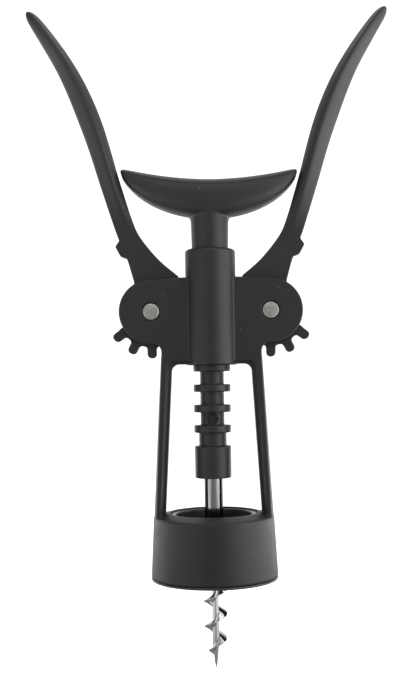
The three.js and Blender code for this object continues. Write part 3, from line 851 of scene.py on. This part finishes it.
def satin_paint(name, base=0.018):
    """Powder-like satin black over a casting: fine grain, slight orange peel, a little dust, and lighter
    convex edges that are partly wear and partly a painted highlight.
    """
    n = Nodes(name)
    cloud = n.noise(90, 3)
    colour = n.mix(n.ramp(cloud, 0.3, 0.7), grey(base * 0.93), grey(base * 1.07))
    edge = n.node("ShaderNodeNewGeometry").outputs["Pointiness"]
    # Lighter strongly convex edges: partly paint worn at the edges, partly a painted highlight along
    # them.
    edge_wear_and_sheen = n.math("MULTIPLY", n.ramp(edge, 0.60, 0.72), n.ramp(n.noise(700, 3), 0.45, 0.7))
    colour = n.mix(n.math("MULTIPLY", edge_wear_and_sheen, 0.2), colour, grey(0.07))
    cell = n.node("ShaderNodeTexVoronoi", {"Vector": n.where, "Scale": 300.0})
    pick = n.node("ShaderNodeSeparateColor", {0: cell.outputs["Color"]}).outputs[0]
    near = n.math("LESS_THAN", cell.outputs["Distance"], 0.055)
    speck = n.math("MULTIPLY", near, n.math("LESS_THAN", pick, 0.12))
    colour = n.mix(n.math("MULTIPLY", speck, 0.6), colour, grey(0.28))
    roughness = n.ramp(n.noise(260, 3), 0.25, 0.75, 0.41, 0.48)
    grain = n.bump(n.noise(5200, 2, 0.6), 0.12, 0.00004)
    peel = n.bump(n.noise(900, 2), 0.10, 0.00008, grain)
    n.set(Base_Color=colour, Roughness=roughness, Normal=peel)
    return n.material


def polished_steel(name):
    """Plated steel, drawn lengthwise, with painted reflection and shade: near white on the worm below
    the bell, greyer with painted dark rims on the shank.
    """
    n = Nodes(name)
    drawn = n.node("ShaderNodeMapping", {"Vector": n.where, "Scale": (1, 1, 0.02)}).outputs[0]
    streak = n.noise(1500, 3, 0.6, drawn)
    lines = n.noise(9000, 2, 0.6, drawn)
    colour = n.mix(n.ramp(streak, 0.38, 0.62), (0.50, 0.48, 0.46, 1), (0.86, 0.85, 0.84, 1))
    edge = n.node("ShaderNodeLayerWeight", {"Blend": 0.5}).outputs["Facing"]
    height = n.node("ShaderNodeSeparateXYZ", {0: n.where}).outputs["Z"]
    on_shank = n.ramp(height, 0.014, 0.018)
    # Painted reflection: the worm below the bell's mouth is mixed towards near white.
    colour = n.mix(n.ramp(height, 0.006, 0.0, 0.0, 0.75), colour, (0.97, 0.965, 0.96, 1))
    # Painted dark reflection: the shank's colour goes near black where its surface turns away at the
    # silhouette.
    rim = n.math("MULTIPLY", n.ramp(edge, 0.30, 0.42), on_shank)
    # Painted shade: the shank gets a darker grey copy of the same steel.
    shank = n.mix(n.ramp(streak, 0.4, 0.6), (0.17, 0.165, 0.16, 1), (0.34, 0.335, 0.33, 1))
    colour = n.mix(on_shank, colour, shank)
    colour = n.mix(rim, colour, (0.05, 0.048, 0.046, 1))
    n.set(Base_Color=colour, Roughness=n.ramp(lines, 0.3, 0.7, 0.06, 0.14), Metallic=1.0)
    n.set(Specular_Tint=(0.6, 0.59, 0.58, 1))
    n.set(Normal=n.bump(lines, 0.08, 0.00002))
    return n.material


def pin_steel(name):
    """The cropped end of a steel pin: mottled, with a few darker pits."""
    n = Nodes(name)
    mottle = n.noise(1100, 4, 0.65)
    colour = n.mix(n.ramp(mottle, 0.3, 0.7), (0.30, 0.29, 0.275, 1), (0.58, 0.565, 0.54, 1))
    pits = n.ramp(n.noise(2600, 3), 0.62, 0.72)
    colour = n.mix(n.math("MULTIPLY", pits, 0.6), colour, grey(0.12, 0.03))
    n.set(Base_Color=colour, Metallic=0.85, Roughness=n.ramp(mottle, 0.3, 0.7, 0.5, 0.36))
    n.set(Normal=n.bump(mottle, 0.3, 0.0001))
    return n.material


def gloss_plastic(name):
    """Smooth black moulded plastic."""
    n = Nodes(name)
    colour = n.mix(n.noise(150, 2), grey(0.036), grey(0.046))
    n.set(Base_Color=colour, Roughness=n.ramp(n.noise(400, 3), 0.3, 0.7, 0.2, 0.28))
    n.set(Normal=n.bump(n.noise(700, 2), 0.06, 0.00006))
    return n.material


# ---- pieces ----


def piece(obj, body, nodes, material):
    obj.data.materials.append(material)
    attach(obj, body)
    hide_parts(*nodes)


def make_frame():
    low, high = (-32.8, -22.9, 0.6), (32.8, 22.9, 116.2)
    return carved("frame_cast", make_frame_field(), low, high, 0.34, pin_hole_rim)


def make_liner():
    corners = [
        (16.8, 0, 0.2), (LINER_R, 0, 0.42), (LINER_R, 0.92, 0.42), (18.4, 0.92, 0.1), (18.4, 20.8, 0.1),
        (14.95, 20.8, 0.1), (14.95, 22.75, 0.3), (13.4, 22.75, 0.5), (13.4, 19, 0.2), (16.8, 19, 0.5),
    ]
    return spun("liner_moulded", rounded_loop(corners), 160)


def make_lever(side, sign, arm_field):
    """One lever from the field that both share, mirrored on the left."""
    low_x, high_x = sorted((sign * 6.0, sign * 64.5))
    return carved(
        side + "_lever_cast",
        lambda x, y, z: arm_field(sign * x - PIVOT[0], y, z - PIVOT[1]),
        (low_x, -5.8, 76.0), (high_x, 5.8, 200.5), 0.34,
    )


def make_pin(side, sign):
    """A headless pin through the hub, its ends slightly rounded."""
    half, r = PIN_HALF, PIN_RADIUS
    profile = [(0, -half), (r - 0.5, -half + 0.02), (r - 0.18, -half + 0.12), (r, -half + 0.35)]
    profile += [(a, -b) for a, b in reversed(profile)]
    return spun(side + "_pin_turned", profile, 64, 35, "y", (sign * PIVOT[0], 0, PIVOT[1]))


def make_retaining_pin():
    """The end of the pin that holds the spindle. Its negative heights put it behind the axis,
    inside the rack's wall, so the hole in the rack's front is empty and shows as a dark recess."""
    r = RETAINER_R
    profile = [(0, -3.96), (r - 0.15, -3.93), (r, -3.82), (r, -r), (0, -r)]
    return spun("retaining_pin_end", profile, 48, 40, "y", (0, 0, RETAINER_Z))


def build_object():
    piece(make_frame(), "frame", ["frame_casting"], satin_paint("satin_black_frame"))
    piece(make_liner(), "frame", ["bell_liner"], gloss_plastic("black_liner_plastic"))

    arm_field, arm_paint = make_lever_field(), satin_paint("satin_black_levers")
    pins = pin_steel("cropped_pin_steel")
    for side, sign in (("right", 1), ("left", -1)):
        arm = make_lever(side, sign, arm_field)
        piece(arm, side + "_wing", [side + "_lever"], arm_paint)
        piece(make_pin(side, sign), "frame", [side + "_pivot_pin"], pins)

    rack_paint = satin_paint("satin_black_rack")
    rack = carved("rack_turned", make_rack_field(), (-7, -7, 34.6), (7, 7, 97.5), 0.24)
    piece(rack, "rack_slider", ["rack"], rack_paint)
    # A lighter copy of the same satin paint: painted light, brightening the pin end against the shade of
    # its recess.
    lightened_pin_paint = satin_paint("pin_end_paint_lightened", 0.03)
    piece(make_retaining_pin(), "rack_slider", ["spindle_retaining_pin"], lightened_pin_paint)

    handle = carved("handle_cast", make_handle_field(), (-31.6, -8.0, 96.2), (31.6, 8.0, 144.6), 0.3)
    piece(handle, "spindle", ["handle"], satin_paint("satin_black_handle"))
    piece(make_worm(), "spindle", ["worm"], polished_steel("polished_steel"))


# ---- stage, light and camera ----

FLOOR_Z = CAD_BOX[0][2] - 0.0004  # just under the worm's tip
WORLD = {"front": 0.10, "behind": 1.0, "above": 0.4, "seen": 1.2}
SOFTBOXES = [  # name, place, what it aims at, size, watts
    ("right_softbox", (0.87, -0.32, 0.22), (0, 0, 0.08), (1.25, 1.1), 8.0),
    ("left_softbox", (-0.6, -0.55, 0.4), (0, 0, 0.12), (0.9, 0.8), 1.0),
    ("front_softbox", (0.0, -0.75, 0.75), (0, 0, 0.15), (1.2, 0.6), 2.8),
    ("top_softbox", (0.0, 0.25, 0.95), (0, 0, 0.08), (1.0, 0.8), 3.0),
]
CAMERA = {"place": (0, -0.3515, 0.0685), "lens": 52.9412, "shift": (-0.016206, 0.063353), "roll": 0.9}


def area_light(name, place, aim, size, watts):
    light = bpy.data.lights.new(name, "AREA")
    light.shape = "RECTANGLE"
    light.size, light.size_y = size
    light.energy = watts
    obj = bpy.data.objects.new(name, light)
    obj.location = place
    obj.rotation_euler = (Vector(aim) - Vector(place)).to_track_quat("-Z", "Y").to_euler()
    bpy.context.scene.collection.objects.link(obj)


def build_floor():
    """Pale and even to the camera. Reflections see it dim near the object, in front more so, and
    bright far out at the sides, as a lit sweep is."""
    bpy.ops.mesh.primitive_circle_add(
        vertices=96, radius=1.5, fill_type="NGON", location=(0, 0, FLOOR_Z)
    )
    floor = bpy.context.object
    floor.name = "floor"
    n = Nodes("pale_floor")
    seen = n.node("ShaderNodeLightPath").outputs["Is Camera Ray"]
    place = n.node("ShaderNodeSeparateXYZ", {0: n.where}).outputs
    off_centre = n.math("ABSOLUTE", place["X"])
    near = n.ramp(off_centre, 0.01, 0.07, 0.1, 0.55)
    side = n.ramp(place["X"], -0.3, 0.3, 2.3, 3.4)
    far = n.math("MULTIPLY", n.ramp(off_centre, 0.15, 0.5), side)
    glow = n.math("MULTIPLY", n.math("ADD", near, far), n.ramp(place["Y"], -0.4, 0.1, 0.5, 1.0))
    pale = n.mix(n.noise(3, 2), grey(0.84), grey(0.88))
    n.set(Base_Color=n.mix(seen, grey(0.2), pale), Roughness=0.7, Emission_Color=(1, 1, 1, 1))
    n.set(Emission_Strength=n.math("MAXIMUM", glow, n.math("MULTIPLY", seen, 0.85)))
    floor.data.materials.append(n.material)


def build_world():
    """White to the camera. Reflections see it dark in front, bright behind, and dimmer high up."""
    world = bpy.data.worlds.new("studio")
    bpy.context.scene.world = world
    world.use_nodes = True
    tree = world.node_tree
    background = tree.nodes["Background"]
    background.inputs["Color"].default_value = (1, 1, 1, 1)

    def node(kind, **inputs):
        made = tree.nodes.new(kind)
        for key, value in inputs.items():
            socket = made.inputs[key.replace("_", " ")]
            if isinstance(value, bpy.types.NodeSocket):
                tree.links.new(value, socket)
            else:
                socket.default_value = value
        return made.outputs

    def ramp(value, low, high, to_low, to_high):
        return node(
            "ShaderNodeMapRange", Value=value, From_Min=low, From_Max=high, To_Min=to_low, To_Max=to_high
        )[0]

    way = node("ShaderNodeSeparateXYZ", Vector=node("ShaderNodeTexCoord")["Generated"])
    behind = ramp(way["Z"], 0.3, 0.6, WORLD["behind"], WORLD["above"])
    around = ramp(way["Y"], 0.0, 0.6, WORLD["front"], behind)
    seen = node("ShaderNodeLightPath")["Is Camera Ray"]
    tree.links.new(ramp(seen, 0.0, 1.0, around, WORLD["seen"]), background.inputs["Strength"])


def build_stage():
    build_floor()
    build_world()
    for softbox in SOFTBOXES:
        area_light(*softbox)


def build_camera():
    camera = bpy.data.cameras.new("camera")
    camera.sensor_fit = "AUTO"
    camera.sensor_width = 36
    camera.lens = CAMERA["lens"]
    camera.shift_x, camera.shift_y = CAMERA["shift"]
    camera.clip_start = 0.01
    obj = bpy.data.objects.new("camera", camera)
    obj.location = CAMERA["place"]
    obj.rotation_euler = (math.pi / 2, math.radians(CAMERA["roll"]), 0)
    bpy.context.scene.collection.objects.link(obj)
    bpy.context.scene.camera = obj


bpy.context.scene.view_settings.view_transform = "Standard"
build_camera()
build_stage()
build_object()
